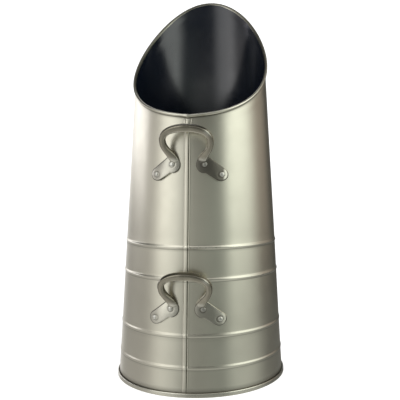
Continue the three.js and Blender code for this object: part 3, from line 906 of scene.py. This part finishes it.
def pewter_finish(name, plain, stain, dark, worn, rough, grain):
    """Satin plate on metal: mottled tone, painted shade in crevices, fine grain and faint scratches.

    The colours are the plain plate's, its mottling's, the painted shade's and that of the worn places.
    """
    f = Finish(name)
    mottle = f.spread(f.noise(26, 5, 0.6, distortion=0.4), 0.35, 0.68)
    patches = f.spread(f.noise(9, 3, 0.5), 0.4, 0.65)
    specks = f.spread(f.noise(700, 3, 0.7), 0.66, 0.8)
    scratches = f.spread(f.noise(240, 6, 0.75, stretch=(1, 1, 0.06)), 0.62, 0.74)
    painted_shade, wear_and_highlight = f.marks("painted_shade"), f.marks("wear_and_highlight")
    colour = f.blend(f.times(mottle, 0.4), plain, stain)
    colour = f.blend(f.times(patches, 0.1), colour, worn)
    # Wear turns the plate towards the worn colour; where a casting is spared it, that is a painted
    # highlight.
    colour = f.blend(f.times(wear_and_highlight, 0.85), colour, worn)
    # Painted shade, with a few dust specks, darkens it towards the dark colour.
    colour = f.blend(f.sum(f.times(painted_shade, 0.85), f.times(specks, 0.06)), colour, dark)
    f.link(colour, f.skin.inputs["Base Color"])
    roughness = f.spread(f.noise(60, 6, 0.65), 0.3, 0.7, rough - 0.02, rough + 0.02)
    roughness = f.sum(roughness, f.times(painted_shade, 0.12), f.times(wear_and_highlight, -0.08), f.times(scratches, 0.04))
    f.link(roughness, f.skin.inputs["Roughness"])
    f.skin.inputs["Metallic"].default_value = 1.0
    normal = f.relief(f.noise(grain, 4, 0.6), 0.00001, 0.3)
    normal = f.relief(scratches, 0.00001, 0.2, normal)
    f.link(normal, f.skin.inputs["Normal"])
    return f


def sheet_pewter_finish():
    """The body's and pan's plate, smooth and evenly satin."""
    plain, stain = (0.75, 0.725, 0.605), (0.70, 0.675, 0.56)
    dark, bright = (0.10, 0.095, 0.075), (0.80, 0.78, 0.675)
    return pewter_finish("sheet_pewter", plain, stain, dark, bright, 0.31, 900).material


def cast_pewter_finish():
    """The handles' plate over a casting: soft lumps and pits of the mould, and a browned, darker grip."""
    plain, stain = (0.69, 0.67, 0.575), (0.60, 0.58, 0.49)
    dark, browned = (0.07, 0.064, 0.048), (0.235, 0.212, 0.158)
    f = pewter_finish("cast_pewter", plain, stain, dark, browned, 0.3, 600)
    first = f.skin.inputs["Normal"].links[0].from_socket
    lumps = f.relief(f.noise(160, 3, 0.5), 0.0003, 0.35, first)
    pits = f.relief(f.spread(f.noise(900, 2, 0.5), 0.30, 0.42), 0.00008, 0.4, lumps)
    f.link(pits, f.skin.inputs["Normal"])
    return f.material


def rivet_pewter_finish():
    """The rivet heads' plate, hammered and rubbed bright."""
    plain, stain = (0.70, 0.69, 0.61), (0.60, 0.59, 0.52)
    dark, bright = (0.10, 0.095, 0.08), (0.78, 0.77, 0.70)
    f = pewter_finish("rivet_pewter", plain, stain, dark, bright, 0.4, 800)
    first = f.skin.inputs["Normal"].links[0].from_socket
    f.link(f.relief(f.noise(420, 2, 0.5), 0.0002, 0.3, first), f.skin.inputs["Normal"])
    return f.material


def steel_wire_finish():
    """Drawn wire: grey steel with fine streaks."""
    f = Finish("drawn_steel_wire")
    streaks = f.noise(1500, 5, 0.7)
    colour = f.blend(f.spread(streaks, 0.4, 0.7), (0.42, 0.42, 0.41), (0.28, 0.26, 0.24))
    f.link(colour, f.skin.inputs["Base Color"])
    f.link(f.spread(streaks, 0.3, 0.7, 0.35, 0.5), f.skin.inputs["Roughness"])
    f.skin.inputs["Metallic"].default_value = 1.0
    f.link(f.relief(streaks, 0.00003, 0.4), f.skin.inputs["Normal"])
    return f.material


def black_paint_finish():
    """Satin black paint: blue-black, uneven gloss, a faint orange peel and dust specks.

    Its normals are tipped upwards more and more from a height of 0.36 m to one of 0.42 m, and a little
    downwards below that, so that what it mirrors fades down the wall.
    """
    f = Finish("satin_black_paint")
    cloud = f.spread(f.noise(18, 4, 0.6), 0.35, 0.7)
    dust = f.spread(f.noise(1100, 2, 0.6), 0.7, 0.82)
    colour = f.blend(cloud, (0.006, 0.010, 0.020), (0.009, 0.012, 0.019))
    colour = f.blend(f.times(dust, 0.12), colour, (0.09, 0.09, 0.09))
    f.link(colour, f.skin.inputs["Base Color"])
    f.link(f.spread(f.noise(45, 5, 0.6), 0.3, 0.7, 0.18, 0.24), f.skin.inputs["Roughness"])
    f.skin.inputs["IOR"].default_value = 1.8
    f.skin.inputs["Specular IOR Level"].default_value = 0.5
    normal = f.add("ShaderNodeNewGeometry").outputs["Normal"]
    height, tip = f.add("ShaderNodeSeparateXYZ"), f.add("ShaderNodeCombineXYZ")
    f.link(f.place, height.inputs[0])
    f.link(f.spread(height.outputs["Z"], 0.36, 0.42, -0.015, 0.05), tip.inputs["Z"])
    turned = f.vector("NORMALIZE", f.vector("ADD", normal, tip.outputs["Vector"]))
    f.link(f.relief(f.noise(380, 3, 0.55), 0.00004, 0.3, turned), f.skin.inputs["Normal"])
    return f.material


# ---- Camera, light and ground ----


def make_camera():
    """The photograph's view: a pinhole before the front, a little to the right, looking slightly down."""
    bearing, pitch, roll = np.radians([5.47, 3.226, 0.2235])
    ahead = np.array([-np.sin(bearing) * np.cos(pitch), np.cos(bearing) * np.cos(pitch), -np.sin(pitch)])
    right = np.cross(ahead, [0, 0, 1])
    right /= np.linalg.norm(right)
    up = np.cross(right, ahead)
    right, up = np.cos(roll) * right + np.sin(roll) * up, np.cos(roll) * up - np.sin(roll) * right
    camera = bpy.data.objects.new("camera", bpy.data.cameras.new("camera"))
    bpy.context.scene.collection.objects.link(camera)
    spot = np.array([147.3, -850.3 + AXIS_Y, 288.1]) * MM
    columns = np.column_stack([right, up, -ahead, spot])
    camera.matrix_world = Matrix([*columns.tolist(), (0, 0, 0, 1)])
    picture, focal, shift_right, shift_up = 400, 637.85, -50, -6.5  # in the photograph's pixels
    camera.data.sensor_width = 36
    camera.data.lens = focal / picture * camera.data.sensor_width
    camera.data.shift_x, camera.data.shift_y = shift_right / picture, shift_up / picture
    camera.data.clip_start, camera.data.clip_end = 0.05, 20
    bpy.context.scene.camera = camera


def light_studio():
    """A studio as the metal mirrors it, painted on the world: a dim room with soft upright panels.

    Each panel stands round a bearing from the front. To its left and to its right it is bright as far
    as an inner angle and gone by an outer one. Its strength eases from one value under a low elevation,
    where it is a glow on the floor, to another over a higher one, and fades out towards its top.
    """
    world = bpy.data.worlds.new("studio")
    room = Nodes(world)
    background = room.add("ShaderNodeBackground")
    room.link(background.outputs[0], room.add("ShaderNodeOutputWorld").inputs[0])
    parts = room.add("ShaderNodeSeparateXYZ")
    room.link(room.add("ShaderNodeTexCoord").outputs["Generated"], parts.inputs[0])
    x, y, z = parts.outputs

    def tinted(value, colour):
        node = room.add("ShaderNodeVectorMath", operation="SCALE")
        room.feed(node.inputs[0], colour)
        room.link(value, node.inputs["Scale"])
        return node.outputs[0]

    def sine(degrees):
        return float(np.sin(np.radians(degrees)))

    def panel(bearing, left, right, low, strengths, colour, top=(50, 68)):
        ahead, beside = float(np.cos(np.radians(bearing))), float(np.sin(np.radians(bearing)))
        toward = room.math("ADD", room.times(x, beside), room.times(y, -ahead))
        aside = room.math("ADD", room.times(x, ahead), room.times(y, beside))
        turn = room.times(room.math("ARCTAN2", aside, toward), float(np.degrees(1)))
        across = room.times(room.spread(turn, -left[1], -left[0]), room.spread(turn, *right, 1.0, 0.0))
        height = room.spread(z, sine(low[0]), sine(low[1]), *strengths)
        height = room.times(height, room.spread(z, sine(top[0]), sine(top[1]), 1.0, 0.0))
        return tinted(room.times(across, height), colour)

    white = (1, 1, 1)
    lights = [
        # The left front box.
        panel(-39, (6, 30), (7, 31), (-8, 3), (0.31, 1.08), white),
        # The right box, and its glow on its left.
        panel(72, (12, 33), (10, 44), (-7.5, 6.5), (0.27, 1.36), (0.97, 1.01, 0.96)),
        panel(42, (12, 34), (14, 30), (-6, 3), (0.09, 0.25), (0.92, 1.04, 0.97), (5, 11)),
        # A pale wall on the right.
        panel(118, (10, 30), (10, 34), (-9, 1), (0.0, 0.22), (1.18, 0.98, 0.86)),
        # The left back box, hung high, and a pale wall on the left.
        panel(-104, (18, 42), (9, 21), (0.6, 3.8), (0.0, 1.38), (1, 1, 1.1), (10, 15)),
        panel(-92, (50, 80), (34, 60), (-6, 4), (0.24, 0.52), (1.03, 0.99, 0.99), (9.5, 15)),
        # The table in front, and the floor far in front.
        panel(-3, (6, 24), (8, 30), (-3, 4), (0.0, 0.25), (1, 1, 0.98), (4, 8.5)),
        panel(-10, (40, 70), (20, 48), (-8, 0), (0.11, 0.29), (0.98, 1.02, 0.96), (2.9, 6.0)),
        # The backdrop, and a cloth hung over the front.
        panel(-160, (14, 34), (10, 34), (-6, 4), (0.5, 0.8), (1, 1, 1.05)),
        panel(0, (60, 100), (60, 100), (22, 36), (0.0, 0.45), white, (74, 88)),
        # The floor, and the floor close by.
        tinted(room.spread(z, sine(-15), sine(-10), 0.1, 0.0), white),
        tinted(room.spread(z, sine(-48), sine(-28), 0.2, 0.0), white),
    ]
    total = (0.055, 0.05555, 0.0528)  # the room's own dim light
    for light in lights:
        total = room.vector("ADD", total, light)
    room.link(total, background.inputs["Color"])
    bpy.context.scene.world = world


def make_ground():
    """A pale floor that sweeps up into a pale backdrop all round, seen only by the camera.

    What the metal mirrors is the studio on the world, so the ground can be as pale as the photograph's
    without washing out the reflections.
    """
    radius = np.array([0, 0.2, 0.5, 0.9, 1.5, 2.2, 2.6, 2.85, 2.98, 3.0, 3.0, 2.4, 0])[:, None]
    height = np.array([0, 0, 0, 0, 0, 0, 0.04, 0.15, 0.34, 0.7, 3.4, 4.2, 4.4])[:, None]
    bearing = np.linspace(0, FULL_TURN, 96, endpoint=False)[None, :]
    mesh = make_mesh("ground", [{"points": polar(bearing, radius, height) / MM}])
    mesh.flip_normals()
    tidy_mesh(mesh)
    ground = bpy.data.objects.new("ground", mesh)
    bpy.context.scene.collection.objects.link(ground)
    f = Finish("pale_ground")
    f.skin.inputs["Base Color"].default_value = (0.86, 0.86, 0.86, 1)
    f.skin.inputs["Roughness"].default_value = 0.9
    f.skin.inputs["Specular IOR Level"].default_value = 0.1
    f.skin.inputs["Emission Color"].default_value = (1, 1, 1, 1)
    f.skin.inputs["Emission Strength"].default_value = 0.8
    mesh.materials.append(f.material)
    for hidden in ("visible_glossy", "visible_diffuse", "visible_shadow", "visible_transmission"):
        setattr(ground, hidden, False)


# ---- The scuttle ----

bpy.context.scene.view_settings.view_transform = "Standard"
make_camera()
light_studio()
make_ground()

sheet_pewter = sheet_pewter_finish()
cast_pewter = cast_pewter_finish()
rivet_pewter = rivet_pewter_finish()
black_paint = black_paint_finish()
steel_wire = steel_wire_finish()

build("sheet_body", [body_grid()], [sheet_pewter], ["body"])
build("mouth_wire", [wire_grid()], [steel_wire], ["rim_wire"])
build("bottom_pan", [pan_grid()], [sheet_pewter], ["base_pan"])
build("inside_paint", [inside_paint_grid()], [black_paint])
for which in HANDLE_HEIGHTS:
    handle_piece(which, cast_pewter)
    for hand in (-1, 1):
        for outer in (False, True):
            rivet_piece(which, hand, outer, rivet_pewter, black_paint)

bpy.context.view_layer.update()
